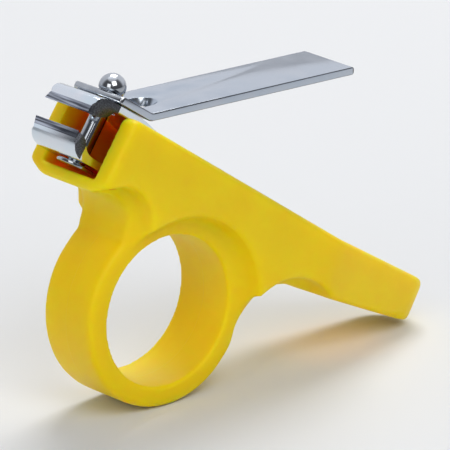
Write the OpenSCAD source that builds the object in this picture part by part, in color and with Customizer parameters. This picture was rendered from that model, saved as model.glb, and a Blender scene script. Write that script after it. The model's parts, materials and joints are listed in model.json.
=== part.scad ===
// Nail clipper mounted in a finger-ring handle.
// Side view: X runs from the jaws to the tail, Z is up, Y is the width.
// The origin is the centre of the finger ring.

/* [Finger ring] */
// Bore of the finger ring
ring_bore_d = 24; // [20:0.5:28]
// Wall of the ring
ring_wall = 3.4; // [2.5:0.1:4.5]
// Width of the ring along its bore
ring_w = 11.6; // [10:0.2:14]

/* [Body] */
// Width of the body above the ring
body_w = 18.8; // [17:0.2:24]
// Height of the body's top above the lower cutting edge
body_top = 5.4; // [4.6:0.1:6]
// Distance from the jaws back to the kink where the tail starts
kink_a = 56; // [52:1:64]
// Radius of the scoop that blends the body's sides into the ring
ring_scoop = 3.6; // [2.5:0.1:4.2]
// Radius of the scoops at the cuts in front of the ring and behind it
cut_scoop = 1.9; // [1.2:0.1:2.6]
// Thickness of the tail at its tip
tail_tip_t = 7; // [5:0.2:9]
// Slope of the tail's top
tail_slope = 31.6; // [26:0.2:36]
// Half width of the tail's rounded tip
tail_tip_r = 5.6; // [4:0.2:8]

/* [Head] */
// Slope of the clipper in the handle
tilt = 35.3; // [30:0.5:38]
// Height of the lower cutting edge over the ring's centre
jaw_z = 32.5; // [31:0.5:40]
// Overhang of the lower cutting edge in front of the ring's centre
jaw_x = 16.2; // [14:0.2:20]
// How far the jaws stand out of the head
jaw_out = 5.9; // [4.5:0.1:7]
// Wall on either side of the head's mouth
mouth_wall = 3.2; // [2:0.1:4]
// Depth of the mouth's floor below the lower cutting edge
mouth_depth = 5.3; // [5:0.1:6]
// Depth of the head's underside below the lower cutting edge
head_depth = 7.8; // [7:0.1:9]

/* [Clipper arms] */
// Width of both arms and blades
arm_w = 10.3; // [9:0.1:11]
// Thickness of the sheet the arms are made of
arm_t = 1.2; // [0.9:0.1:1.4]
// Gap between the two cutting edges when open
jaw_gap = 3.0; // [2:0.1:3.4]
// Depth of the lower arm's upper face below the lower cutting edge
low_drop = 2.6; // [2.2:0.1:3]
// Height of the upper arm's underside over the upper cutting edge
high_rise = 2.15; // [1.8:0.05:2.4]
// Distance from the cutting edges to the rivets
rivet_a = 40; // [36:1:44]
// Length of the arms behind the rivets
arm_tail = 4; // [3:0.5:5]
// Distance over which the arms run level behind the post
arm_level = 11; // [10.5:0.5:13]

/* [Post] */
// Distance from the cutting edges to the post
post_a = 6.9; // [6.7:0.1:8]
// Diameter of the post
post_d = 2.8; // [2.2:0.1:3]
// Diameter of the post's ball head
ball_d = 4.3; // [3.8:0.1:4.4]
// Diameter of the disc under the lower arm
disc_d = 5.6; // [4.8:0.2:6.4]
// Thickness of that disc
disc_t = 0.6; // [0.4:0.1:0.8]
// Running clearance between the post and its hole
post_fit = 0.05; // [0.02:0.01:0.1]

/* [Lever] */
// Width of the lever
lever_w = 11.5; // [10:0.1:12]
// Thickness of the lever
lever_t = 1.25; // [1:0.05:1.5]
// Slope of the raised arm against the clipper's arms
lever_rise = 33.2; // [28:0.2:38]
// Length of the arm from the bend to its square end
lever_len = 40.6; // [30:0.5:48]
// Distance from the cutting edges to the lever's front edge
lever_front = 4.5; // [4:0.1:5]
// Distance from the cutting edges to the bend
bend_a = 11.2; // [10.8:0.1:12.5]
// Width of the slot round the post
slot_w = 4.6; // [4.5:0.1:5]
// Thickness of the cross bar in front of the slot
bar_w = 1.2; // [1:0.1:1.4]

/* [Rivets] */
// Diameter of the rivets' shanks
rivet_d = 2; // [1.6:0.1:2.4]
// Diameter of the rivets' heads
rivet_head_d = 3.4; // [2.8:0.1:3.8]
// Thickness of the rivets' heads
rivet_head_t = 0.5; // [0.3:0.1:0.6]
// Distance of each rivet from the middle
rivet_y = 2.6; // [2.2:0.1:2.8]
// Clearance between the rivets' shanks and their holes
rivet_fit = 0.08; // [0.05:0.01:0.1]

/* [Hidden] */
$fn = 96;
eps = 0.01;

ring_r = ring_bore_d / 2;
ring_out_r = ring_r + ring_wall;
floor_z = -ring_out_r;

// gap between the arms and the pocket that holds them
pocket_gap = 0.4;
// gap between the two arms at the rivets, and between a rivet's head and the arm,
// so that the arms can turn
arms_gap = 0.2;
rivet_gap = 0.1;
// the rivets' heads bear on the pocket's floor and roof at this height
rivet_end = arms_gap / 2 + arm_t + rivet_gap + rivet_head_t;
// the arms run flat under the rivets' heads, from here back
flat_a = rivet_a - rivet_head_d / 2 - 0.3;
// gap between the lever and the arm it rests on
rest_gap = 0.15;

// the mouth's inner half width
mouth_y = body_w / 2 - mouth_wall;
// the post's place in the mouth sets how far back the mouth's floor goes
mouth_back = post_a + disc_d / 2 + pocket_gap;
// the arms' pocket is open at the top as far back as this
open_back = 24;

high_p = jaw_gap + high_rise;
arms_top = high_p + arm_t;

// a point at distance a behind the cutting edges and height p over the lower one
function clip_pt(a, p) =
    [-jaw_x + a * cos(tilt) + p * sin(tilt), jaw_z - a * sin(tilt) + p * cos(tilt)];

kink = clip_pt(kink_a, body_top);
// the tail's end face is square to its top, and the tail is as long as it takes for the
// lower edge of that face to stand on the floor
tail_len = (kink[1] - floor_z - tail_tip_t * cos(tail_slope)) / sin(tail_slope);
tail_end = [kink[0] + tail_len * cos(tail_slope), kink[1] - tail_len * sin(tail_slope)];
tail_foot = [tail_end[0] - tail_tip_t * sin(tail_slope), floor_z];
// the underside closes up on the top towards the tip
under_slope = tail_slope - 3.1;

// the round cuts in front of the ring and behind it
notch_c = [-12.2, 16.6];
notch_r = 4.8;
arch_r = 8.5;
arch_c = [21.4, -9.8];
// the tail's underside leaves the arch near its tangent
arch_off = arch_c + (arch_r - 0.1) * [sin(under_slope), cos(under_slope)];

module clip_frame() {
    translate([-jaw_x, 0, jaw_z]) rotate([0, tilt, 0]) children();
}

module across(w) {
    rotate([90, 0, 0]) linear_extrude(w, center = true) children();
}

// ---- handle ----

// side outline of head, beam and tail
module beam_outline(depth) {
    polygon([
        clip_pt(jaw_out, body_top), kink, tail_end, tail_foot, arch_off, arch_c, notch_c,
        clip_pt(jaw_out + 5.4, -depth + 1.8), clip_pt(jaw_out + 2.7, -depth + 1.1),
        clip_pt(jaw_out, -depth)
    ]);
}

// a round cut that widens in a quarter-round scoop towards the sides of the body
module scooped_cut(c, r, scoop) {
    start = ring_w / 2 + scoop;
    translate([c[0], 0, c[1]]) rotate([90, 0, 0]) {
        cylinder(r = r, h = 2 * body_w, center = true);
        for (side = [0, 1]) mirror([0, 0, side]) rotate_extrude() {
            intersection() {
                translate([r, start]) circle(scoop);
                translate([r - eps, 0]) square([scoop + eps, start]);
            }
            translate([r - eps, start - eps]) square([scoop + eps, body_w]);
        }
    }
}

// plan of the tail, seen square to its top: it tapers from the kink to a round tip
module tail_plan() {
    reach = tail_len - tail_tip_r;
    wide = tail_tip_r + (body_w / 2 - tail_tip_r) * (reach + kink_a) / reach;
    polygon(concat(
        [[-kink_a, -wide]],
        [for (turn = [-84:12:84]) [reach + tail_tip_r * cos(turn), tail_tip_r * sin(turn)]],
        [[-kink_a, wide]]
    ));
}

module wide_body() {
    difference() {
        intersection() {
            across(body_w) beam_outline(head_depth);
            translate([kink[0], 0, kink[1]]) rotate([0, tail_slope, 0])
                linear_extrude(160, center = true) tail_plan();
        }
        scooped_cut([0, 0], ring_r, ring_scoop);
        scooped_cut(notch_c, notch_r, cut_scoop);
        scooped_cut(arch_c, arch_r, cut_scoop);
    }
}

module narrow_body() {
    difference() {
        union() {
            rotate([90, 0, 0]) cylinder(r = ring_out_r, h = ring_w, center = true);
            intersection() {
                across(ring_w) beam_outline(head_depth);
                translate([kink[0], 0, kink[1]]) rotate([0, tail_slope, 0])
                    linear_extrude(160, center = true) tail_plan();
            }
        }
        rotate([90, 0, 0]) cylinder(r = ring_r, h = 2 * body_w, center = true);
        translate([notch_c[0], 0, notch_c[1]]) rotate([90, 0, 0])
            cylinder(r = notch_r, h = 2 * body_w, center = true);
        translate([arch_c[0], 0, arch_c[1]]) rotate([90, 0, 0])
            cylinder(r = arch_r, h = 2 * body_w, center = true);
    }
}

// cavity for the blades, and the pocket behind it for the arms
module mouth() {
    low_front = -low_drop - arm_t - pocket_gap;
    roof = rivet_end + (arms_top - arm_t) * (flat_a - open_back) / (flat_a - arm_level);
    back = rivet_a + arm_tail + pocket_gap;
    clip_frame() {
        across(2 * mouth_y) polygon([
            [0, -mouth_depth], [mouth_back, -mouth_depth], [mouth_back, low_front],
            [mouth_back + 2, low_front], [mouth_back + 2, body_top + 10], [0, body_top + 10]
        ]);
        across(arm_w + pocket_gap) polygon([
            [0, low_front], [arm_level, low_front], [flat_a, -rivet_end], [back, -rivet_end],
            [back, rivet_end], [flat_a, rivet_end], [open_back, roof],
            [open_back, body_top + 10], [0, body_top + 10]
        ]);
    }
}

module handle() {
    color("gold") difference() {
        union() {
            wide_body();
            narrow_body();
        }
        mouth();
        clip_frame() translate([jaw_out, 0, 0]) head_trim();
    }
}

// what the chamfers take off under the head
module head_trim() {
    chamfer = 2.2;
    for (side = [-1, 1]) rotate([90, 0, 90]) linear_extrude(12, center = true)
        polygon([
            [side * (body_w / 2 + 1), -head_depth + chamfer + 0.5],
            [side * (body_w / 2 - 2 * chamfer - 1), -head_depth - 0.5],
            [side * (body_w / 2 + 1), -head_depth - 0.5]
        ]);
}

// ---- clipper arms ----

// side outline of the lower arm: cutting edge, ground bevel, hook, level part, slope
module lower_outline() {
    low = -low_drop - arm_t;
    end = rivet_a + arm_tail;
    top = -arms_gap / 2;
    polygon([
        [0, 0], [0.15, -1.15], [0.3, -2.1], [0.8, -3], [1.7, -3.6], [3, low], [arm_level, low],
        [flat_a, top - arm_t], [end, top - arm_t], [end, top], [flat_a, top],
        [arm_level, -low_drop], [5, -low_drop], [4.2, -2.1], [3.2, -1.2], [1.8, -0.4]
    ]);
}

// side outline of the upper arm, measured from its own cutting edge upwards
module upper_outline() {
    top = high_rise + arm_t;
    end = rivet_a + arm_tail;
    low = arms_gap / 2 - jaw_gap;
    polygon([
        [0, 0], [0.3, 1.2], [0.8, 2.35], [1.8, 3.1], [3.3, top], [arm_level, top],
        [flat_a, low + arm_t], [end, low + arm_t], [end, low], [flat_a, low],
        [arm_level, high_rise], [5.2, high_rise], [4.6, 1.3], [3.6, 0.6], [2, 0.15]
    ]);
}

module rivet_holes() {
    for (side = [-1, 1]) translate([rivet_a, side * rivet_y, 0])
        cylinder(d = rivet_d + 2 * rivet_fit, h = 8 * arm_t, center = true);
}

module lower_arm() {
    color("silver") clip_frame() difference() {
        across(arm_w) lower_outline();
        translate([post_a, 0, -low_drop]) cylinder(d = post_d + 2 * post_fit, h = 6 * arm_t, center = true);
        rivet_holes();
    }
}

module upper_arm() {
    // the hole is wide enough for the post to lean as the arms close
    hole_d = post_d + 1.6;
    color("silver") clip_frame() difference() {
        translate([0, 0, jaw_gap]) across(arm_w) upper_outline();
        translate([post_a, 0, high_p]) cylinder(d = hole_d, h = 6 * arm_t, center = true);
        rivet_holes();
    }
}

// ---- post ----

module post() {
    low = -low_drop - arm_t - post_fit;
    bar_low = arms_top + rest_gap;
    // the ball is cut flat just above the lever's cross bar
    seat = bar_low + lever_t + rest_gap;
    // the cross bar turns in front of the neck
    neck_r = post_a - lever_front - bar_w - 0.35;
    color("gainsboro") clip_frame() translate([post_a, 0, 0]) rotate_extrude() intersection() {
        union() {
            translate([0, low - disc_t]) square([disc_d / 2, disc_t]);
            translate([0, low - eps]) square([post_d / 2, arms_top - low]);
            translate([0, arms_top - 0.2]) square([neck_r, seat - arms_top + 0.4]);
            intersection() {
                translate([0, seat + 0.45 * ball_d / 2]) circle(ball_d / 2);
                translate([0, seat]) square(ball_d);
            }
        }
        translate([0, low - disc_t]) square([disc_d, 40]);
    }
}

// ---- lever ----

// side outline of the lever: a short level part, a bend, and the raised arm
module lever_outline() {
    low = arms_top + rest_gap;
    inner_r = 0.8;
    outer_r = inner_r + lever_t;
    c = [bend_a, low + outer_r];
    along = lever_len * [cos(lever_rise), sin(lever_rise)];
    bend = [for (step = [0:6]) [sin(lever_rise * step / 6), -cos(lever_rise * step / 6)]];
    polygon(concat(
        [[lever_front, low]],
        [for (b = bend) c + outer_r * b],
        [c + outer_r * bend[6] + along, c + inner_r * bend[6] + along],
        [for (step = [6:-1:0]) c + inner_r * bend[step]],
        [[lever_front, low + lever_t]]
    ));
}

module lever() {
    low = arms_top + rest_gap;
    slot_front = lever_front + bar_w;
    slot_back = bend_a + 5;
    color("lightsteelblue") clip_frame() difference() {
        across(lever_w) lever_outline();
        translate([0, 0, low - 1]) linear_extrude(12) {
            translate([slot_front, -slot_w / 2]) square([slot_back - slot_w / 2 - slot_front, slot_w]);
            translate([slot_back - slot_w / 2, 0]) circle(d = slot_w);
        }
    }
}

// ---- rivets ----

module rivet(side) {
    grip = rivet_end - rivet_head_t;
    color("dimgray") clip_frame() translate([rivet_a, side * rivet_y, 0]) {
        cylinder(d = rivet_d, h = 2 * grip + eps, center = true);
        for (end = [0, 1]) mirror([0, 0, end]) translate([0, 0, grip])
            cylinder(d = rivet_head_d, h = rivet_head_t);
    }
}

module rivet_left() { rivet(1); }
module rivet_right() { rivet(-1); }

handle();
lower_arm();
upper_arm();
post();
lever();
rivet_left();
rivet_right();
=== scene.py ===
"""Finished pieces, finishes, light and camera for a nail clipper in a finger-ring handle.

Every length in the classes is in millimetres. The clipper itself is drawn in its own frame, in which
A runs back from the cutting edges along the arms and P rises from the lower cutting edge.
"""

from __future__ import annotations

import json
import logging
import math
from dataclasses import dataclass, field
from enum import Enum
from typing import Callable, Iterable, Sequence

import bpy
from mathutils import Euler, Matrix, Vector

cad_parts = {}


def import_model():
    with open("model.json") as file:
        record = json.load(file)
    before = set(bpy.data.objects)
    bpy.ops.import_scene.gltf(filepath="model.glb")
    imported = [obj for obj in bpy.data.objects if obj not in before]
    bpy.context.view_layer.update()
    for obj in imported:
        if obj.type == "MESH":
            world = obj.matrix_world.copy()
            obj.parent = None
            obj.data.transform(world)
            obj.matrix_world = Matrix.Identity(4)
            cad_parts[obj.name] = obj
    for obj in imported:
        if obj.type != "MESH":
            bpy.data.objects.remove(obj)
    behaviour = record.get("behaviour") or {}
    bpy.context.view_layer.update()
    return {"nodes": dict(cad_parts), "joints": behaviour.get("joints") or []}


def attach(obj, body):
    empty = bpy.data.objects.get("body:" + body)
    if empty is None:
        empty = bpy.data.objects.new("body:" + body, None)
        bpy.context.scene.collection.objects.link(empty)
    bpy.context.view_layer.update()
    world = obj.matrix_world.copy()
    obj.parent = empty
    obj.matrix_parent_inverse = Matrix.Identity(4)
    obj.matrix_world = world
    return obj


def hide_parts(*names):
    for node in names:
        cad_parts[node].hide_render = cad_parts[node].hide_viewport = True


LOG = logging.getLogger("nail_clipper")
MM = 0.001
Point = tuple[float, float]


# ---- small maths ----


def linear(hex_colour: str) -> tuple[float, float, float, float]:
    """Turn an sRGB hex colour into linear RGBA.

    Args:
        hex_colour: six hex digits, such as "E8B417".

    Returns:
        Red, green, blue and an alpha of 1.
    """
    channels = [int(hex_colour[i : i + 2], 16) / 255 for i in (0, 2, 4)]
    bent = [c / 12.92 if c <= 0.04045 else ((c + 0.055) / 1.055) ** 2.4 for c in channels]
    return (bent[0], bent[1], bent[2], 1.0)


def rounded(corners: Sequence[tuple[float, float, float]], step: float = 9.0) -> list[Point]:
    """Round the corners of a closed outline with arcs.

    Args:
        corners: x, y and the radius of each corner, 0 for a sharp one.
        step: the largest turn between two points of an arc, in degrees.

    Returns:
        The outline's points.
    """
    points: list[Point] = []
    count = len(corners)
    for i, (x, y, radius) in enumerate(corners):
        here = Vector((x, y))
        before = Vector(corners[i - 1][:2]) - here
        after = Vector(corners[(i + 1) % count][:2]) - here
        if radius <= 0:
            points.append((x, y))
            continue
        half = before.angle(after) / 2
        reach = min(radius / math.tan(half), 0.48 * before.length, 0.48 * after.length)
        radius = reach * math.tan(half)
        middle = here + (before.normalized() + after.normalized()).normalized() * (radius / math.sin(half))
        start = here + before.normalized() * reach - middle
        end = here + after.normalized() * reach - middle
        turn = start.angle_signed(end)
        pieces = max(2, math.ceil(abs(math.degrees(turn)) / step))
        for k in range(pieces + 1):
            angle = -turn * k / pieces
            spoke = Matrix.Rotation(angle, 2) @ start
            points.append((middle.x + spoke.x, middle.y + spoke.y))
    return points


@dataclass(frozen=True)
class ClipFrame:
    """The slope and place of the clipper in the handle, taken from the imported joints."""

    origin: Vector
    tilt: float

    @classmethod
    def from_joints(cls, joints: Iterable[dict], rivet_a: float) -> ClipFrame:
        """Read the frame off the post's axis and the arms' hinge.

        Args:
            joints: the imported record's joints.
            rivet_a: the distance from the cutting edges back to the rivets.

        Returns:
            The clipper's frame.
        """
        named = {joint["name"]: joint for joint in joints}
        axis = named["post_swivel"]["axis"]
        hinge = Vector(named["lower_close"]["pos_m"])
        tilt = math.atan2(axis[0], axis[2])
        along = Vector((math.cos(tilt), 0, -math.sin(tilt)))
        return cls(origin=hinge - along * rivet_a * MM, tilt=tilt)

    def point(self, a: float, p: float, y: float = 0) -> Vector:
        """Give the place of a point of the clipper's frame, in metres."""
        c, s = math.cos(self.tilt), math.sin(self.tilt)
        return self.origin + Vector((a * c + p * s, y, p * c - a * s)) * MM

    def flat(self, a: float, p: float) -> Point:
        """Give the X and Z of a point of the clipper's frame, in millimetres."""
        place = self.point(a, p)
        return (place.x / MM, place.z / MM)

    def side(self) -> Matrix:
        """Give the place of an outline drawn in A and P, with its depth along the width."""
        c, s = math.cos(self.tilt), math.sin(self.tilt)
        turn = Matrix(((c, s, 0), (0, 0, -1), (-s, c, 0)))
        return Matrix.Translation(self.origin) @ turn.to_4x4()

    def plan(self, a: float = 0, p: float = 0) -> Matrix:
        """Give the place of an outline drawn in A and width, with its depth along P."""
        return Matrix.Translation(self.point(a, p)) @ Matrix.Rotation(self.tilt, 4, "Y")

    def front(self, a: float = 0, p: float = 0) -> Matrix:
        """Give the place of an outline drawn in width and P, with its depth along A."""
        c, s = math.cos(self.tilt), math.sin(self.tilt)
        turn = Matrix(((0, s, c), (1, 0, 0), (0, c, -s)))
        return Matrix.Translation(self.point(a, p)) @ turn.to_4x4()


SIDE_VIEW = Matrix(((1, 0, 0, 0), (0, 0, -1, 0), (0, 1, 0, 0), (0, 0, 0, 1)))


# ---- the bench: modelling operations ----


class Join(Enum):
    """How one solid works on another."""

    ADD = "UNION"
    CUT = "DIFFERENCE"
    KEEP_COMMON = "INTERSECT"


class Bench:
    """The modelling operations that every piece is made with."""

    @staticmethod
    def clear() -> None:
        """Deselect everything."""
        if bpy.context.object and bpy.context.object.mode != "OBJECT":
            bpy.ops.object.mode_set(mode="OBJECT")
        bpy.ops.object.select_all(action="DESELECT")

    @staticmethod
    def take(piece: bpy.types.Object) -> None:
        """Make a piece the only one selected."""
        Bench.clear()
        piece.select_set(True)
        bpy.context.view_layer.objects.active = piece

    @staticmethod
    def settle(piece: bpy.types.Object) -> None:
        """Move a piece's place into its mesh."""
        Bench.take(piece)
        bpy.ops.object.transform_apply(location=True, rotation=True, scale=True)

    @staticmethod
    def chain(name: str, points: Sequence[tuple[float, float, float]]) -> bpy.types.Object:
        """Start a piece as a chain of edges, and leave it in edit mode.

        Args:
            name: the piece's name.
            points: the chain's corners in order.

        Returns:
            The chain.
        """
        Bench.clear()
        bpy.ops.mesh.primitive_plane_add(size=MM)
        piece = bpy.context.object
        piece.name = name
        bpy.ops.object.mode_set(mode="EDIT")
        bpy.ops.mesh.select_mode(type="VERT")
        bpy.ops.mesh.select_all(action="SELECT")
        bpy.ops.mesh.merge(type="CENTER")
        bpy.ops.transform.translate(value=Vector(points[0]) * MM)
        for here, there in zip(points, points[1:]):
            move = (Vector(there) - Vector(here)) * MM
            bpy.ops.mesh.extrude_region_move(TRANSFORM_OT_translate={"value": move})
        return piece

    @staticmethod
    def prism(name: str, outline: Sequence[Point], depth: float, place: Matrix) -> bpy.types.Object:
        """Extrude a closed outline evenly to both sides of its plane.

        Args:
            name: the piece's name.
            outline: its corners in order.
            depth: its whole depth.
            place: where its plane lies.

        Returns:
            The closed solid.
        """
        piece = Bench.chain(name, [(x, y, -depth / 2) for x, y in outline])
        bpy.ops.object.mode_set(mode="OBJECT")
        last = len(piece.data.vertices) - 1
        for vertex in piece.data.vertices:
            vertex.select = vertex.index in (0, last)
        bpy.ops.object.mode_set(mode="EDIT")
        bpy.ops.mesh.select_mode(type="VERT")
        bpy.ops.mesh.edge_face_add()
        bpy.ops.mesh.select_all(action="SELECT")
        bpy.ops.mesh.edge_face_add()
        bpy.ops.mesh.extrude_region_move(TRANSFORM_OT_translate={"value": (0, 0, depth * MM)})
        bpy.ops.mesh.select_all(action="SELECT")
        bpy.ops.mesh.normals_make_consistent(inside=False)
        bpy.ops.object.mode_set(mode="OBJECT")
        piece.matrix_world = place
        Bench.settle(piece)
        Bench.face_out(piece)
        return piece

    @staticmethod
    def rod(name: str, radius: float, depth: float, place: Matrix, sides: int = 128) -> bpy.types.Object:
        """Make a cylinder whose axis is its plane's normal, centred on the place."""
        Bench.clear()
        bpy.ops.mesh.primitive_cylinder_add(vertices=sides, radius=radius * MM, depth=depth * MM)
        piece = bpy.context.object
        piece.name = name
        piece.matrix_world = place
        Bench.settle(piece)
        return piece

    @staticmethod
    def face_out(piece: bpy.types.Object) -> None:
        """Turn every face of a closed piece outwards."""
        Bench.take(piece)
        bpy.ops.object.mode_set(mode="EDIT")
        bpy.ops.mesh.select_all(action="SELECT")
        bpy.ops.mesh.normals_make_consistent(inside=False)
        bpy.ops.object.mode_set(mode="OBJECT")

    @staticmethod
    def bevel_edges(
        piece: bpy.types.Object, test: Callable[[Vector, Vector], bool], width: float, segments: int
    ) -> None:
        """Bevel the edges whose two ends pass a test.

        Args:
            piece: the piece, in place.
            test: says of an edge's two ends, in metres, whether it is bevelled.
            width: the bevel's width.
            segments: how many faces it has.
        """
        Bench.take(piece)
        mesh = piece.data
        for part in (*mesh.vertices, *mesh.edges, *mesh.polygons):
            part.select = False
        for edge in mesh.edges:
            one, other = (mesh.vertices[i].co for i in edge.vertices)
            edge.select = test(one, other)
        bpy.ops.object.mode_set(mode="EDIT")
        bpy.ops.mesh.select_mode(type="EDGE")
        bpy.ops.mesh.bevel(offset=width * MM, segments=segments, profile=0.5, clamp_overlap=True)
        bpy.ops.object.mode_set(mode="OBJECT")

    @staticmethod
    def score(piece: bpy.types.Object, at: Vector, along: Vector) -> None:
        """Split a piece's faces where they cross a plane, so that a finish can end there."""
        Bench.take(piece)
        bpy.ops.object.mode_set(mode="EDIT")
        bpy.ops.mesh.select_all(action="SELECT")
        bpy.ops.mesh.bisect(plane_co=at, plane_no=along, threshold=1e-7)
        bpy.ops.object.mode_set(mode="OBJECT")

    @staticmethod
    def work(piece: bpy.types.Object, tool: bpy.types.Object, how: Join) -> None:
        """Add, cut or intersect one solid with another, which is used up."""
        Bench.take(piece)
        change = piece.modifiers.new("join", "BOOLEAN")
        change.operation = how.value
        change.solver = "EXACT"
        change.object = tool
        bpy.ops.object.modifier_apply(modifier=change.name)
        bpy.data.objects.remove(tool)

    @staticmethod
    def remesh(piece: bpy.types.Object, voxel: float) -> None:
        """Rebuild a closed piece as an even skin of small squares."""
        Bench.take(piece)
        change = piece.modifiers.new("skin", "REMESH")
        change.mode = "VOXEL"
        change.voxel_size = voxel * MM
        change.adaptivity = 0
        bpy.ops.object.modifier_apply(modifier=change.name)

    @staticmethod
    def soften(piece: bpy.types.Object, rounds: int) -> None:
        """Relax a skin, which rounds its edges."""
        Bench.take(piece)
        change = piece.modifiers.new("soft", "SMOOTH")
        change.factor = 0.5
        change.iterations = rounds
        bpy.ops.object.modifier_apply(modifier=change.name)

    @staticmethod
    def ease(piece: bpy.types.Object, width: float, segments: int = 3, angle: float = 28) -> None:
        """Round every edge that is sharper than an angle."""
        Bench.take(piece)
        change = piece.modifiers.new("ease", "BEVEL")
        change.width = width * MM
        change.segments = segments
        change.limit_method = "ANGLE"
        change.angle_limit = math.radians(angle)
        change.use_clamp_overlap = True
        change.harden_normals = False
        bpy.ops.object.modifier_apply(modifier=change.name)

    @staticmethod
    def shade(piece: bpy.types.Object, angle: float = 35) -> None:
        """Shade a piece smooth across every edge that is flatter than an angle."""
        Bench.take(piece)
        bpy.ops.object.shade_smooth_by_angle(angle=math.radians(angle))

    @staticmethod
    def dress(piece: bpy.types.Object, material: bpy.types.Material) -> None:
        """Give a piece its main material."""
        piece.data.materials.clear()
        piece.data.materials.append(material)

    @staticmethod
    def redress(
        piece: bpy.types.Object, material: bpy.types.Material, test: Callable[[Vector, Vector], bool]
    ) -> None:
        """Give another material to the faces that pass a test.

        Args:
            piece: the piece, in place.
            material: the other material.
            test: says of a face's centre, in metres, and its normal, whether it changes.
        """
        piece.data.materials.append(material)
        slot = len(piece.data.materials) - 1
        for face in piece.data.polygons:
            if test(face.center, face.normal):
                face.material_index = slot


# ---- finishes ----


def node(
    tree: bpy.types.NodeTree, kind: str, sockets: dict | None = None, **settings: object
) -> bpy.types.Node:
    """Add a node with its settings and links.

    Args:
        tree: the material's node tree.
        kind: the node's type.
        sockets: input sockets by name or number, each with a value or the socket that feeds it.
        settings: the node's own settings.

    Returns:
        The node.
    """
    made = tree.nodes.new(kind)
    for name, value in settings.items():
        setattr(made, name, value)
    for key, value in (sockets or {}).items():
        if isinstance(value, bpy.types.NodeSocket):
            tree.links.new(value, made.inputs[key])
        else:
            made.inputs[key].default_value = value
    return made


def blank(name: str) -> tuple[bpy.types.Material, bpy.types.NodeTree]:
    """Make an empty material.

    Args:
        name: the finish's name.

    Returns:
        The material and its node tree.
    """
    material = bpy.data.materials.new(name)
    material.use_nodes = True
    material.node_tree.nodes.clear()
    return material, material.node_tree


def ramp(made: bpy.types.Node, stops: Sequence[tuple[float, str]]) -> bpy.types.NodeSocket:
    """Set a colour ramp's stops, each a place and an sRGB hex colour, and give its colour output."""
    elements = made.color_ramp.elements
    while len(elements) < len(stops):
        elements.new(0.5)
    for element, (place, colour) in zip(elements, stops):
        element.position = place
        element.color = linear(colour)
    return made.outputs["Color"]


def noise(
    tree: bpy.types.NodeTree, place: bpy.types.NodeSocket, grain_mm: float, detail: float
) -> bpy.types.NodeSocket:
    """Add a noise pattern with grains of a given size, and give its value."""
    sockets = {"Vector": place, "Scale": 1 / (grain_mm * MM), "Detail": detail}
    return node(tree, "ShaderNodeTexNoise", sockets).outputs["Fac"]


def bump(
    tree: bpy.types.NodeTree,
    height: bpy.types.NodeSocket,
    strength: float,
    depth_mm: float,
    over: bpy.types.NodeSocket | None = None,
) -> bpy.types.NodeSocket:
    """Add a bump of a given depth, over another one if there is one, and give its normal."""
    sockets = {"Height": height, "Strength": strength, "Distance": depth_mm * MM}
    if over is not None:
        sockets["Normal"] = over
    return node(tree, "ShaderNodeBump", sockets).outputs["Normal"]


def compute(tree: bpy.types.NodeTree, operation: str, *values: object) -> bpy.types.NodeSocket:
    """Add a sum or a test of numbers and sockets, and give its result."""
    return node(tree, "ShaderNodeMath", dict(enumerate(values)), operation=operation).outputs[0]


def spread(
    tree: bpy.types.NodeTree, value: bpy.types.NodeSocket, source: Point, target: Point, smooth: bool = True
) -> bpy.types.NodeSocket:
    """Map a range of values onto another, and give the result."""
    ends = {"From Min": source[0], "From Max": source[1], "To Min": target[0], "To Max": target[1]}
    kind = "SMOOTHSTEP" if smooth else "LINEAR"
    made = node(tree, "ShaderNodeMapRange", {"Value": value, **ends}, interpolation_type=kind)
    return made.outputs["Result"]


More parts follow.
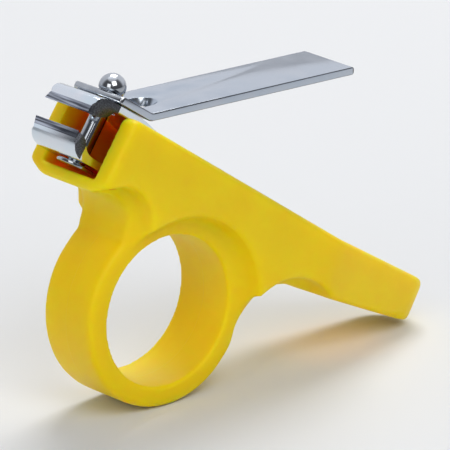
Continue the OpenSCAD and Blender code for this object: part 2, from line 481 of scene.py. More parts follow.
@dataclass(frozen=True)
class MouldedPolypropylene:
    """Injection-moulded polypropylene: a waxy sheen, light carried inside, faint flow marks, and painted
    shade deep in the mouth.
    """

    clip: ClipFrame
    light: str = "F2D506"
    deep: str = "EFCE04"
    # painted shade: the deeper orange painted on the mouth's walls
    mouth_shade_colour: str = "E67C04"
    rough_low: float = 0.4
    rough_high: float = 0.52
    carried: tuple[float, float, float] = (1.0, 0.42, 0.03)
    carried_mm: float = 4.0
    flow_mm: float = 9.0
    grain_mm: float = 0.35
    wave_mm: float = 4.5
    line_mm: float = 0.16
    ring_out_mm: float = 15.45
    mouth_half_w: float = 6.4
    mouth_front: float = 6.4
    mouth_reach: float = 4.2
    mouth_end: float = 22.0
    mouth_high: float = 4.6
    mouth_low: float = -5.6
    rear_slope: float = 0.6
    rear_low: float = -11.5

    def material(self) -> bpy.types.Material:
        """Build the material."""
        material, tree = blank("moulded_polypropylene")
        place = node(tree, "ShaderNodeTexCoord").outputs["Object"]
        tint = node(tree, "ShaderNodeValToRGB", {"Fac": noise(tree, place, self.flow_mm, 3.0)})
        skin = ramp(tint, [(0.35, self.deep), (0.65, self.light)])
        off_middle = compute(tree, "ABSOLUTE", node(tree, "ShaderNodeSeparateXYZ", {0: place}).outputs["Y"])
        # painted shade: the mouth's walls are mixed towards a deeper orange, more so deeper in the mouth
        depth = self.mouth_depth(tree, place, off_middle)
        mix = {"Fac": depth, "Color1": skin, "Color2": linear(self.mouth_shade_colour)}
        colour = node(tree, "ShaderNodeMixRGB", mix).outputs[0]
        wave = noise(tree, place, self.wave_mm, 1.0)
        soft = bump(tree, wave, 0.25, 0.25)
        fine = bump(tree, noise(tree, place, self.grain_mm, 2.0), 0.12, 0.03, soft)
        line = bump(tree, self.parting_line(tree, place, off_middle), 0.6, 0.05, fine)
        shader = node(
            tree,
            "ShaderNodeBsdfPrincipled",
            {
                "Base Color": colour,
                "Roughness": spread(tree, wave, (0.0, 1.0), (self.rough_low, self.rough_high), smooth=False),
                "IOR": 1.49,
                "Specular IOR Level": 0.22,
                "Subsurface Weight": 1.0,
                "Subsurface Radius": self.carried,
                "Subsurface Scale": self.carried_mm * MM,
                "Normal": line,
            },
        )
        node(tree, "ShaderNodeOutputMaterial", {"Surface": shader.outputs["BSDF"]})
        return material

    def mouth_depth(
        self, tree: bpy.types.NodeTree, place: bpy.types.NodeSocket, off_middle: bpy.types.NodeSocket
    ) -> bpy.types.NodeSocket:
        """Build the painted shade of the mouth: a deeper orange painted on its walls where shade falls.

        Args:
            tree: the material's node tree.
            place: the object coordinates.
            off_middle: the distance from the middle of the width.

        Returns:
            The painted shade's socket, 0 at the lips and 1 deep in the mouth.
        """
        c, s = math.cos(self.clip.tilt), math.sin(self.clip.tilt)
        local = node(tree, "ShaderNodeVectorMath", {0: place, 1: self.clip.origin}, operation="SUBTRACT")
        along, up = (
            node(
                tree, "ShaderNodeVectorMath", {0: local.outputs[0], 1: axis}, operation="DOT_PRODUCT"
            ).outputs["Value"]
            for axis in ((c, 0, -s), (s, 0, c))
        )
        ends = (self.mouth_front * MM, (self.mouth_front + self.mouth_reach) * MM)
        painted_shade = spread(tree, along, ends, (0.0, 1.0))
        # behind the mouth the floor of the painted shade climbs, clear of the notch below it
        rear = compute(tree, "MULTIPLY_ADD", along, -self.rear_slope, up)
        limits = (
            (rear, self.rear_low, "GREATER_THAN"),
            (up, self.mouth_high, "LESS_THAN"),
            (off_middle, self.mouth_half_w, "LESS_THAN"),
            (along, self.mouth_end, "LESS_THAN"),
            (up, self.mouth_low, "GREATER_THAN"),
        )
        for value, limit, test in limits:
            painted_shade = compute(tree, "MULTIPLY", painted_shade, compute(tree, test, value, limit * MM))
        return painted_shade

    def parting_line(
        self, tree: bpy.types.NodeTree, place: bpy.types.NodeSocket, off_middle: bpy.types.NodeSocket
    ) -> bpy.types.NodeSocket:
        """Build the height of the mould's parting line, a fine ridge round the middle of the ring.

        Args:
            tree: the material's node tree.
            place: the object coordinates.
            off_middle: the distance from the middle of the width.

        Returns:
            The height's socket, 1 on the ridge and 0 away from it.
        """
        ridge = spread(tree, off_middle, (0.0, self.line_mm * MM), (1.0, 0.0))
        flat = node(tree, "ShaderNodeVectorMath", {0: place, 1: (1.0, 0.0, 1.0)}, operation="MULTIPLY")
        away = node(tree, "ShaderNodeVectorMath", {0: flat.outputs[0]}, operation="LENGTH")
        near = compute(tree, "LESS_THAN", away.outputs["Value"], self.ring_out_mm * MM)
        return compute(tree, "MULTIPLY", ridge, near)


@dataclass(frozen=True)
class PlatedSteel:
    """Nickel-chrome plated spring steel: a mirror under fine polishing lines and faint smears.

    The lines run along the axis that stretch scales down, after the turn, and a streaked finish takes
    its two colours from them.
    """

    name: str = "polished_chrome_plate"
    colour: str = "DDE0E5"
    low: str = "D3DEE5"
    streaked: bool = False
    rough_low: float = 0.07
    rough_high: float = 0.2
    smear_mm: float = 5.0
    line_mm: float = 0.25
    line_depth_mm: float = 0.004
    turn: tuple[float, float, float] = (0.0, 0.0, 0.0)
    stretch: tuple[float, float, float] = (0.06, 1.0, 1.0)

    def material(self) -> bpy.types.Material:
        """Build the material."""
        material, tree = blank(self.name)
        place = node(tree, "ShaderNodeTexCoord").outputs["Object"]
        smear = noise(tree, place, self.smear_mm, 4.0)
        gloss = spread(tree, smear, (0.3, 0.7), (self.rough_low, self.rough_high), smooth=False)
        turned = node(tree, "ShaderNodeMapping", {"Vector": place, "Rotation": self.turn})
        drawn = node(tree, "ShaderNodeMapping", {"Vector": turned.outputs[0], "Scale": self.stretch})
        # the lines are drawn coarser than real polishing lines, which are a few hundredths wide
        lines = noise(tree, drawn.outputs[0], self.line_mm, 3.0)
        tone = node(tree, "ShaderNodeValToRGB", {"Fac": lines if self.streaked else smear})
        shader = node(
            tree,
            "ShaderNodeBsdfPrincipled",
            {
                "Base Color": ramp(tone, [(0.36, self.low), (0.64, self.colour)]),
                "Metallic": 1.0,
                "Roughness": gloss,
                "Normal": bump(tree, lines, 0.5, self.line_depth_mm),
            },
        )
        node(tree, "ShaderNodeOutputMaterial", {"Surface": shader.outputs["BSDF"]})
        return material


@dataclass
class Finishes:
    """Every material of the clipper, made once."""

    clip: ClipFrame
    plastic: bpy.types.Material = field(init=False)
    blade: bpy.types.Material = field(init=False)
    ground: bpy.types.Material = field(init=False)
    sheared_and_dark_reflection: bpy.types.Material = field(init=False)
    lever: bpy.types.Material = field(init=False)
    post: bpy.types.Material = field(init=False)
    rivet: bpy.types.Material = field(init=False)

    def __post_init__(self) -> None:
        """Build the materials."""
        turn = (0.0, self.clip.tilt, 0.0)
        self.plastic = MouldedPolypropylene(self.clip).material()
        self.blade = PlatedSteel(name="plated_blade_steel", turn=turn, stretch=(1.0, 0.08, 1.0)).material()
        # ground after plating, so the bare steel is darker and its grinding lines run along the edge
        self.ground = PlatedSteel(
            name="ground_bevel_steel",
            colour="B4B9C4",
            low="4A4E57",
            streaked=True,
            rough_low=0.16,
            rough_high=0.28,
            line_mm=0.3,
            line_depth_mm=0.01,
            turn=turn,
            stretch=(1.0, 0.04, 1.0),
        ).material()
        # torn by the shear that cut the strip, so it is dark and coarse; on the lever's rounded edges the
        # same dark steel is a painted dark reflection
        self.sheared_and_dark_reflection = PlatedSteel(
            name="sheared_steel_and_dark_reflection",
            colour="5A5C61",
            low="3C3E42",
            streaked=True,
            rough_low=0.26,
            rough_high=0.42,
            line_mm=0.2,
            line_depth_mm=0.05,
            stretch=(1.0, 1.0, 1.0),
        ).material()
        self.lever = PlatedSteel(
            name="polished_lever_plate", colour="B8BEC7", low="B0B9C4", rough_low=0.16, rough_high=0.26
        ).material()
        self.post = PlatedSteel(
            name="turned_post_plate", colour="BEC1C5", low="8F949A", rough_low=0.04, rough_high=0.12
        ).material()
        self.rivet = PlatedSteel(
            name="plain_rivet_steel", colour="9A9DA2", low="8E959C", rough_low=0.3, rough_high=0.45
        ).material()


# ---- pieces ----


@dataclass
class Handle:
    """The moulded handle: ring, body, head with its mouth, and tail."""

    clip: ClipFrame
    bore_r: float = 12.0
    ring_out_r: float = 15.4
    ring_w: float = 11.6
    body_w: float = 18.8
    body_top: float = 5.4
    kink_a: float = 56.0
    tail_slope: float = 31.6
    tail_tip_t: float = 7.0
    tail_tip_r: float = 5.6
    jaw_out: float = 5.9
    head_depth: float = 7.8
    mouth_w: float = 12.4
    mouth_depth: float = 5.3
    mouth_back: float = 10.1
    seat_p: float = -4.2
    pocket_half_t: float = 1.9
    pocket_a: float = 38.0
    pocket_end: float = 44.4
    open_a: float = 24.0
    open_p: float = 4.6
    arm_level_a: float = 11.0
    arm_slot_w: float = 10.7
    notch: tuple[float, float, float] = (-12.2, 16.6, 4.8)
    arch: tuple[float, float, float] = (21.4, -9.8, 8.5)
    ring_cove: float = 3.55
    cut_cove: float = 1.9
    chamfer_w: float = 5.4
    chamfer_h: float = 2.7
    rim_round: float = 1.4
    voxel: float = 0.33
    outer_rounds: int = 40
    inner_rounds: int = 5

    def tail_corners(self) -> tuple[Point, Point, Point]:
        """Give the kink, the tail's upper end and its foot."""
        slope = math.radians(self.tail_slope)
        kink = self.clip.flat(self.kink_a, self.body_top)
        floor = -self.ring_out_r
        length = (kink[1] - floor - self.tail_tip_t * math.cos(slope)) / math.sin(slope)
        end = (kink[0] + length * math.cos(slope), kink[1] - length * math.sin(slope))
        foot = (end[0] - self.tail_tip_t * math.sin(slope), floor)
        return kink, end, foot

    def outline(self) -> list[Point]:
        """Draw the side view of head, beam and tail."""
        kink, end, foot = self.tail_corners()
        lean = math.radians(self.tail_slope - 3.1)
        x, z, radius = self.arch
        leave = (x + (radius - 0.1) * math.sin(lean), z + (radius - 0.1) * math.cos(lean))
        under = [
            self.clip.flat(self.jaw_out + 5.4, 1.8 - self.head_depth),
            self.clip.flat(self.jaw_out + 2.7, 1.1 - self.head_depth),
            self.clip.flat(self.jaw_out, -self.head_depth),
        ]
        return rounded(
            [
                (*self.clip.flat(self.jaw_out, self.body_top), 0.9),
                (*kink, 14.0),
                (*end, 2.8),
                (*foot, 1.4),
                (*leave, 0),
                (self.arch[0], self.arch[1], 0),
                (self.notch[0], self.notch[1], 0),
                (*under[0], 2.0),
                (*under[1], 4.0),
                (*under[2], 1.0),
            ]
        )

    def tail_plan(self) -> bpy.types.Object:
        """Make the block that tapers the body in plan from the kink to a round tip."""
        kink, end, _ = self.tail_corners()
        slope = math.radians(self.tail_slope)
        length = (end[0] - kink[0]) / math.cos(slope)
        reach = length - self.tail_tip_r
        wide = self.tail_tip_r + (self.body_w / 2 - self.tail_tip_r) * (reach + self.kink_a) / reach
        turns = [math.radians(t) for t in range(-84, 85, 6)]
        tip = [(reach + self.tail_tip_r * math.cos(t), self.tail_tip_r * math.sin(t)) for t in turns]
        place = Matrix.Translation(Vector((kink[0], 0, kink[1])) * MM) @ Matrix.Rotation(slope, 4, "Y")
        corners = [(-self.kink_a, -wide), *tip, (-self.kink_a, wide)]
        return Bench.prism("tail_plan", corners, 160, place)

    def scoop(self, centre: Point, radius: float, cove: float, side: int) -> bpy.types.Object:
        """Make the cutter that hollows one side of the body round a hole with a quarter-round cove."""
        near = self.ring_w / 2
        depth = self.body_w / 2 - near + 4.4
        place = Matrix.Translation(Vector((centre[0], side * (near + depth / 2), centre[1])) * MM)
        cutter = Bench.rod("scoop", radius + cove, depth, place @ Matrix.Rotation(math.pi / 2, 4, "X"))
        flat = near * MM * side

        def on_rim(one: Vector, other: Vector) -> bool:
            return abs(one.y - flat) < 1e-6 and abs(other.y - flat) < 1e-6

        Bench.bevel_edges(cutter, on_rim, cove * 0.995, 12)
        return cutter

    def solid(self) -> bpy.types.Object:
        """Build the moulding's outer form, before the mouth is cut."""
        body = Bench.prism("handle_moulding", self.outline(), self.body_w, SIDE_VIEW)
        for centre, radius, cove in (
            ((0.0, 0.0), self.bore_r, self.ring_cove),
            (self.notch[:2], self.notch[2], self.cut_cove),
            (self.arch[:2], self.arch[2], self.cut_cove),
        ):
            for side in (-1, 1):
                Bench.work(body, self.scoop(centre, radius, cove, side), Join.CUT)
        Bench.work(body, self.tail_plan(), Join.KEEP_COMMON)
        ring = Bench.rod("ring", self.ring_out_r, self.ring_w, SIDE_VIEW, 192)
        edge = self.ring_w / 2 * MM

        def on_rim(one: Vector, other: Vector) -> bool:
            return abs(abs(one.y) - edge) < 1e-6 and abs(one.y - other.y) < 1e-6

        Bench.bevel_edges(ring, on_rim, self.rim_round, 8)
        Bench.work(body, ring, Join.ADD)
        for x, z, radius in (self.notch, self.arch):
            place = Matrix.Translation(Vector((x, 0, z)) * MM) @ SIDE_VIEW
            Bench.work(body, Bench.rod("round_cut", radius, 40, place, 192), Join.CUT)
        for side in (-1, 1):
            Bench.work(body, self.chamfer(side), Join.CUT)
        return body

    def chamfer(self, side: int) -> bpy.types.Object:
        """Make the cutter for one lower edge of the head."""
        half = self.body_w / 2
        corners = [
            (side * (half + 1), -self.head_depth + self.chamfer_h),
            (side * (half - self.chamfer_w), -self.head_depth - 0.5),
            (side * (half + 1), -self.head_depth - 0.5),
        ]
        return Bench.prism("chamfer", corners, 12, self.clip.front(self.jaw_out))

    def cut_mouth(self, body: bpy.types.Object) -> None:
        """Cut the mouth and the slot behind it that holds the arms."""
        back, low, top = self.mouth_back, self.seat_p, self.body_top + 10
        cavity = rounded(
            [
                (0, -self.mouth_depth, 0),
                (back, -self.mouth_depth, 0.5),
                (back, low, 0.3),
                (back + 2, low, 0),
                (back + 2, top, 0),
                (0, top, 0),
            ]
        )
        slot = [
            (0, low),
            (self.arm_level_a, low),
            (self.pocket_a, -self.pocket_half_t),
            (self.pocket_end, -self.pocket_half_t),
            (self.pocket_end, self.pocket_half_t),
            (self.pocket_a, self.pocket_half_t),
            (self.open_a, self.open_p),
            (self.open_a, top),
            (0, top),
        ]
        side = self.clip.side()
        Bench.work(body, Bench.prism("cavity", cavity, self.mouth_w, side), Join.CUT)
        Bench.work(body, Bench.prism("slot", slot, self.arm_slot_w, side), Join.CUT)

    def build(self, finishes: Finishes) -> bpy.types.Object:
        """Make the handle.

        Args:
            finishes: the clipper's materials.

        Returns:
            The finished piece.
        """
        body = self.solid()
        Bench.remesh(body, self.voxel)
        Bench.soften(body, self.outer_rounds)
        Bench.work(body, Bench.rod("bore", self.bore_r, 40, SIDE_VIEW, 192), Join.CUT)
        self.cut_mouth(body)
        Bench.remesh(body, self.voxel)
        Bench.soften(body, self.inner_rounds)
        Bench.face_out(body)
        Bench.take(body)
        bpy.ops.object.shade_smooth()
        Bench.dress(body, finishes.plastic)
        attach(body, "handle")
        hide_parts("handle")
        return body


class Jaw(Enum):
    """Which of the two arms a piece is."""

    LOWER = "lower"
    UPPER = "upper"


@dataclass
class Arm:
    """One of the two spring-steel arms with its hooked blade."""

    clip: ClipFrame
    jaw: Jaw
    width: float = 10.3
    gauge: float = 1.2
    gap: float = 3.0
    low_drop: float = 2.6
    high_rise: float = 2.15
    level_a: float = 11.0
    flat_a: float = 38.0
    end_a: float = 44.0
    post_a: float = 6.9
    hook_a: float = 5.6
    lower_hole_r: float = 1.45
    upper_hole_r: float = 2.2
    rivet_a: float = 40.0
    rivet_y: float = 2.6
    rivet_hole_r: float = 1.08
    corner_off: float = 1.2
    corner_turn: float = 38.0
    corner_lean: float = 14.0
    corner_size: tuple[float, float, float] = (2.6, 2.0, 3.4)

    def outline(self) -> list[Point]:
        """Draw the side view of the arm and its hook."""
        if self.jaw is Jaw.LOWER:
            low = -self.low_drop - self.gauge
            return [
                (0.0, 0.0),
                (0.2, -1.2),
                (0.32, -1.75),
                (0.55, -2.3),
                (0.9, -2.8),
                (1.4, -3.2),
                (2.0, -3.52),
                (2.7, -3.73),
                (3.4, low),
                (self.level_a - 0.6, low),
                (self.level_a + 0.6, low + 0.06),
                (self.flat_a, -0.1 - self.gauge),
                (self.end_a, -0.1 - self.gauge),
                (self.end_a, -0.1),
                (self.flat_a, -0.1),
                (self.level_a + 0.6, 0.06 - self.low_drop),
                (self.level_a - 0.6, -self.low_drop),
                (5.2, -self.low_drop),
                (4.3, -2.52),
                (3.5, -2.25),
                (2.9, -1.8),
                (2.4, -1.2),
                (1.9, -0.7),
                (1.2, -0.3),
            ]
        high = self.gap + self.high_rise
        top = high + self.gauge
        return [
            (0.0, self.gap),
            (0.35, self.gap + 1.25),
            (0.48, self.gap + 1.75),
            (0.72, self.gap + 2.3),
            (1.1, self.gap + 2.75),
            (1.7, self.gap + 3.05),
            (2.5, self.gap + 3.25),
            (3.4, top),
            (self.level_a - 0.6, top),
            (self.level_a + 0.6, top - 0.1),
            (self.flat_a, 0.1 + self.gauge),
            (self.end_a, 0.1 + self.gauge),
            (self.end_a, 0.1),
            (self.flat_a, 0.1),
            (self.level_a + 0.6, high - 0.1),
            (self.level_a - 0.6, high),
            (5.4, high),
            (4.8, self.gap + 1.9),
            (4.3, self.gap + 1.2),
            (3.5, self.gap + 0.6),
            (2.4, self.gap + 0.22),
            (1.2, self.gap + 0.05),
        ]

    def build(self, finishes: Finishes) -> bpy.types.Object:
        """Make the arm.

        Args:
            finishes: the clipper's materials.

        Returns:
            The finished piece.
        """
        lower = self.jaw is Jaw.LOWER
        name = f"{self.jaw.value}_arm_strip"
        arm = Bench.prism(name, self.outline(), self.width, self.clip.side())
        mid_p = -self.low_drop if lower else self.gap + self.high_rise
        hole_r = self.lower_hole_r if lower else self.upper_hole_r
        hole = Bench.rod("hole", hole_r, 6, self.clip.plan(self.post_a, mid_p), 64)
        Bench.work(arm, hole, Join.CUT)
        for side in (-1, 1):
            place = Matrix.Translation((0, side * self.rivet_y * MM, 0)) @ self.clip.plan(self.rivet_a, 0)
            Bench.work(arm, Bench.rod("hole", self.rivet_hole_r, 8, place, 48), Join.CUT)
            Bench.work(arm, self.corner_cut(side), Join.CUT)
        Bench.ease(arm, 0.1, 3)
        along = (self.clip.point(1, 0) - self.clip.point(0, 0)).normalized()
        Bench.score(arm, self.clip.point(self.hook_a, 0), along)
        Bench.face_out(arm)
        Bench.shade(arm, 32)
        Bench.dress(arm, finishes.blade)
        edge_p = 0.0 if lower else self.gap
        to_clip = self.clip.side().inverted()

        def on_bevel(centre: Vector, normal: Vector) -> bool:
            spot = to_clip @ centre / MM
            return spot.x < 0.45 and abs(spot.y - edge_p) < 1.25 and abs(normal.y) < 0.3

        def on_side(centre: Vector, normal: Vector) -> bool:
            spot = to_clip @ centre / MM
            return abs(normal.y) > 0.3 and spot.x < self.hook_a

        Bench.redress(arm, finishes.ground, on_bevel)
        Bench.redress(arm, finishes.sheared_and_dark_reflection, on_side)
        node_name = f"{self.jaw.value}_arm"
        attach(arm, node_name)
        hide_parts(node_name)
        return arm

    def corner_cut(self, side: int) -> bpy.types.Object:
        """Make the cutter that grinds one corner of the cutting edge back."""
        lower = self.jaw is Jaw.LOWER
        p = -1.2 if lower else self.gap + 1.2
        place = (
            Matrix.Translation(self.clip.point(0, p, side * (self.width / 2 + self.corner_off)))
            @ Matrix.Rotation(self.clip.tilt, 4, "Y")
            @ Matrix.Rotation(math.radians(-self.corner_turn * side), 4, "Z")
            @ Matrix.Rotation(math.radians(self.corner_lean if lower else -self.corner_lean), 4, "Y")
        )
        Bench.clear()
        bpy.ops.mesh.primitive_cube_add(size=1)
        cutter = bpy.context.object
        cutter.name = "corner"
        cutter.matrix_world = place @ Matrix.Diagonal((*(size * MM for size in self.corner_size), 1))
        Bench.settle(cutter)
        return cutter


@dataclass
class Post:
    """The post: a disc under the lower arm, a round pin, a neck and a ball."""

    clip: ClipFrame
    a: float = 6.9
    pin_r: float = 1.4
    neck_r: float = 0.85
    disc_r: float = 3.05
    disc_t: float = 0.6
    disc_p: float = -4.05
    arms_top: float = 6.35
    seat_p: float = 7.9
    ball_r: float = 2.15

    def build(self, finishes: Finishes) -> bpy.types.Object:
        """Make the post by turning its profile round its axis.

        Args:
            finishes: the clipper's materials.

        Returns:
            The finished piece.
        """
        centre = self.seat_p + 0.45 * self.ball_r
        start = math.asin((self.seat_p - centre) / self.ball_r)
        low = self.disc_p - self.disc_t
        profile: list[Point] = [
            (0.0, low),
            (self.disc_r - 0.25, low),
            (self.disc_r - 0.08, low + 0.06),
            (self.disc_r, low + 0.2),
            (self.disc_r, self.disc_p - 0.15),
            (self.disc_r - 0.12, self.disc_p),
            (self.pin_r, self.disc_p),
            (self.pin_r, self.arms_top - 0.5),
            (self.pin_r - 0.12, self.arms_top - 0.36),
            (self.neck_r + 0.1, self.arms_top - 0.3),
            (self.neck_r, self.arms_top - 0.2),
            (self.neck_r, self.seat_p),
            (self.ball_r * math.cos(start) - 0.12, self.seat_p),
        ]
        for k in range(1, 17):
            turn = start + (math.pi / 2 - start) * k / 17
            profile.append((self.ball_r * math.cos(turn), centre + self.ball_r * math.sin(turn)))
        # a small flat is left on top where the ball was pressed
        profile.append((0.0, centre + self.ball_r * 0.995))
        post = self.turned("turned_post", profile)
        Bench.shade(post, 30)
        Bench.dress(post, finishes.post)
        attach(post, "post")
        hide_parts("post")
        return post

    def turned(self, name: str, profile: Sequence[Point]) -> bpy.types.Object:
        """Spin a profile, given as radius and height, round the post's axis."""
        piece = Bench.chain(name, [(radius, 0, height) for radius, height in profile])
        bpy.ops.mesh.select_all(action="SELECT")
        bpy.ops.mesh.spin(steps=72, angle=2 * math.pi, center=(0, 0, 0), axis=(0, 0, 1))
        bpy.ops.mesh.select_all(action="SELECT")
        bpy.ops.mesh.remove_doubles(threshold=1e-6)
        bpy.ops.mesh.normals_make_consistent(inside=False)
        bpy.ops.object.mode_set(mode="OBJECT")
        piece.matrix_world = self.clip.plan(self.a, 0)
        Bench.settle(piece)
        Bench.face_out(piece)
        return piece


@dataclass
class Lever:
    """The lever: a cross bar and a slot at the front, a bend, and the raised arm."""

    clip: ClipFrame
    width: float = 11.5
    gauge: float = 1.25
    low_p: float = 6.5
    front_a: float = 4.5
    bend_a: float = 11.2
    bend_r: float = 0.8
    rise: float = 33.2
    length: float = 40.6
    bar_w: float = 1.2
    slot_w: float = 4.6
    slot_end_a: float = 15.7

    def outline(self) -> list[Point]:
        """Draw the side view of the bent strip."""
        outer = self.bend_r + self.gauge
        x, z = self.bend_a, self.low_p + outer
        turns = [math.radians(self.rise * k / 8) for k in range(9)]
        along = (self.length * math.cos(turns[-1]), self.length * math.sin(turns[-1]))
        end = (math.sin(turns[-1]), -math.cos(turns[-1]))
        low = [(x + outer * math.sin(t), z - outer * math.cos(t)) for t in turns]
        high = [(x + self.bend_r * math.sin(t), z - self.bend_r * math.cos(t)) for t in reversed(turns)]
        return [
            (self.front_a, self.low_p),
            *low,
            (x + outer * end[0] + along[0], z + outer * end[1] + along[1]),
            (x + self.bend_r * end[0] + along[0], z + self.bend_r * end[1] + along[1]),
            *high,
            (self.front_a, self.low_p + self.gauge),
        ]

    def build(self, finishes: Finishes) -> bpy.types.Object:
        """Make the lever.

        Args:
            finishes: the clipper's materials.

        Returns:
            The finished piece.
        """
        lever = Bench.prism("bent_lever", self.outline(), self.width, self.clip.side())
        to_clip = self.clip.side().inverted()
        half = self.width / 2

        def corner(one: Vector, other: Vector) -> bool:
            """Say whether an edge is one of the four upright corners of the strip."""
            spots = [to_clip @ end / MM for end in (one, other)]
            same_side = all(abs(abs(s.z) - half) < 0.01 for s in spots) and spots[0].z * spots[1].z > 0
            at_end = all(s.x > self.bend_a + 25 for s in spots)
            at_front = all(s.x < self.front_a + 0.01 for s in spots)
            return same_side and (one - other).length < 1.5 * MM and (at_end or at_front)

        Bench.bevel_edges(lever, corner, 0.9, 4)
        Bench.ease(lever, 0.24, 4, 50)
        front = self.front_a + self.bar_w
        nose = self.slot_end_a - self.slot_w / 2
        turns = [math.radians(t) for t in range(-90, 91, 9)]
        bow = [(nose + self.slot_w / 2 * math.cos(t), self.slot_w / 2 * math.sin(t)) for t in turns]
        mouth = [(front, self.slot_w / 2, 0.5), (front, -self.slot_w / 2, 0.5)]
        slot = rounded([*mouth, (nose, -self.slot_w / 2, 0), (nose, self.slot_w / 2, 0)])[:-2]
        cutter = Bench.prism("slot", [*slot, *bow], 24, self.clip.plan(0, 10))
        Bench.work(lever, cutter, Join.CUT)

        Bench.ease(lever, 0.12, 3, 50)
        Bench.face_out(lever)
        Bench.shade(lever, 32)
        Bench.dress(lever, finishes.lever)

        def at_front(centre: Vector, normal: Vector) -> bool:
            return (to_clip @ centre / MM).x < front + 0.35

        def on_edge(centre: Vector, normal: Vector) -> bool:
            spot = to_clip @ centre / MM
            return 0.3 < abs(normal.y) < 0.93 and abs(spot.z) > half - 0.4

        # painted reflection: the lever's rounded edges take the dark steel, a dark line painted along them
        # where the strip mirrors the dark room
        Bench.redress(lever, finishes.sheared_and_dark_reflection, on_edge)
        Bench.redress(lever, finishes.post, at_front)
        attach(lever, "lever")
        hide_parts("lever")
        return lever


@dataclass
class Rivets:
    """The two rivets inside the handle, kept as they come."""

    names: tuple[str, ...] = ("rivet_left", "rivet_right")

    def dress(self, nodes: dict[str, bpy.types.Object], finishes: Finishes) -> None:
        """Give the rivets their steel."""
        for name in self.names:
            Bench.dress(nodes[name], finishes.rivet)


# ---- room, light and camera ----


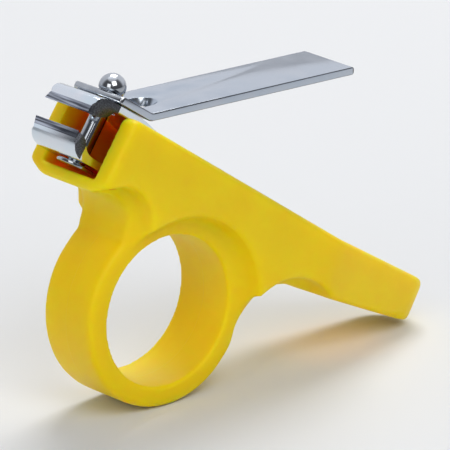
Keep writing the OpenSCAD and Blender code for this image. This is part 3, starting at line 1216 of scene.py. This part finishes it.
@dataclass
class Studio:
    """A pale floor under soft light, and the camera."""

    floor_z: float = -15.4
    floor_colour: str = "E4E6EA"
    camera_at: tuple[float, float, float] = (-571.934, -695.699, 327.029)
    camera_turn: tuple[float, float, float] = (70.7308, 0.7606, -40.4843)
    lens: float = 501.04
    even_light: float = 0.3
    wall_side: tuple[float, float, float] = (0.65, 0.76, 0.05)
    wall_edge: Point = (-0.15, 0.35)
    dark_room: float = 0.14
    white_wall: float = 0.92
    roof_edge: Point = (0.82, 0.94)
    roof_light: float = 0.7
    glow_at: tuple[float, float, float] = (36.0, -2.0, -11.4)

    def camera(self) -> None:
        """Set up the camera."""
        data = bpy.data.cameras.new("camera")
        data.lens = self.lens
        data.sensor_width = 36
        data.clip_start = 0.01
        data.clip_end = 20
        camera = bpy.data.objects.new("camera", data)
        camera.location = Vector(self.camera_at) * MM
        camera.rotation_euler = Euler([math.radians(t) for t in self.camera_turn])
        bpy.context.scene.collection.objects.link(camera)
        bpy.context.scene.camera = camera

    def lamp(
        self, name: str, at: Vector, size: float, power: float, colour: str, aim: Vector = Vector((0, 0, 0))
    ) -> None:
        """Hang a square soft light.

        Args:
            name: the light's name.
            at: its place, in metres.
            size: its side, in metres.
            power: its power in watts.
            colour: its colour.
            aim: the place that it points at, in metres.
        """
        data = bpy.data.lights.new(name, "AREA")
        data.shape = "SQUARE"
        data.size = size
        data.energy = power
        data.color = linear(colour)[:3]
        light = bpy.data.objects.new(name, data)
        light.location = at
        light.rotation_euler = (aim - at).to_track_quat("-Z", "Y").to_euler()
        bpy.context.scene.collection.objects.link(light)

    def surround(self) -> None:
        """Surround the object with even light, and let its metal mirror a white wall and a dark room."""
        world = bpy.data.worlds.new("studio")
        world.use_nodes = True
        tree = world.node_tree
        tree.nodes.clear()
        even = node(
            tree, "ShaderNodeBackground", {"Color": linear("F8FAFF"), "Strength": self.even_light}
        )
        toward = node(tree, "ShaderNodeTexCoord").outputs["Generated"]
        back = node(tree, "ShaderNodeVectorMath", {0: toward, 1: self.wall_side}, operation="DOT_PRODUCT")
        wall = spread(tree, back.outputs["Value"], self.wall_edge, (self.dark_room, self.white_wall))
        height = node(tree, "ShaderNodeSeparateXYZ", {"Vector": toward}).outputs["Z"]
        roof = spread(tree, height, self.roof_edge, (0.0, self.roof_light))
        total = compute(tree, "ADD", wall, roof)
        mirrored = node(
            tree, "ShaderNodeBackground", {"Color": linear("F4F7FF"), "Strength": total}
        )
        glossy = node(tree, "ShaderNodeLightPath").outputs["Is Glossy Ray"]
        both = node(
            tree,
            "ShaderNodeMixShader",
            {"Fac": glossy, 1: even.outputs[0], 2: mirrored.outputs[0]},
        )
        node(tree, "ShaderNodeOutputWorld", {"Surface": both.outputs[0]})
        bpy.context.scene.world = world

    def room(self) -> None:
        """Lay the floor and light the room."""
        Bench.clear()
        bpy.ops.mesh.primitive_plane_add(size=6, location=(0, 0, self.floor_z * MM))
        floor = bpy.context.object
        floor.name = "studio_floor"
        Bench.settle(floor)
        material, tree = blank("matt_white_board")
        shader = node(
            tree, "ShaderNodeBsdfPrincipled", {"Base Color": linear(self.floor_colour), "Roughness": 0.85}
        )
        node(tree, "ShaderNodeOutputMaterial", {"Surface": shader.outputs["BSDF"]})
        Bench.dress(floor, material)
        self.surround()
        self.lamp("key", Vector((0.45, 0.35, 0.85)), 0.5, 6.4, "FFFDF8")
        self.lamp("front", Vector((-0.2, -0.65, 0.7)), 0.6, 3.4, "FFFFFF")
        self.lamp("left", Vector((-0.85, -0.3, 0.45)), 0.5, 1.5, "FFFFFF")
        # light that has come down through the tail, which colours its shadow
        above = Vector(self.glow_at) * MM
        below = Vector((above.x, above.y, self.floor_z * MM))
        self.lamp("glow", above, 15 * MM, 1.3e-4, "FFA008", below)
        bpy.context.scene.view_settings.view_transform = "Standard"


def corners(box: Sequence[Sequence[float]]) -> list[list[float]]:
    """Turn a box's two corners into plain lists of numbers."""
    return [[float(value) for value in corner] for corner in box]


def main() -> None:
    """Build the clipper, its finishes and the room."""
    logging.basicConfig(level=logging.INFO, format="%(name)s: %(message)s")
    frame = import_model()
    studio = Studio()
    studio.camera()
    clip = ClipFrame.from_joints(frame["joints"], rivet_a=40.0)
    finishes = Finishes(clip)
    built = [
        Handle(clip).build(finishes),
        Arm(clip, Jaw.LOWER, hook_a=2.6).build(finishes),
        Arm(clip, Jaw.UPPER).build(finishes),
        Post(clip).build(finishes),
        Lever(clip).build(finishes),
    ]
    Rivets().dress(frame["nodes"], finishes)
    for piece in built:
        triangles = sum(len(face.vertices) - 2 for face in piece.data.polygons)
        LOG.info("%s: %d triangles", piece.name, triangles)
    studio.room()


if __name__ == "__main__":
    main()
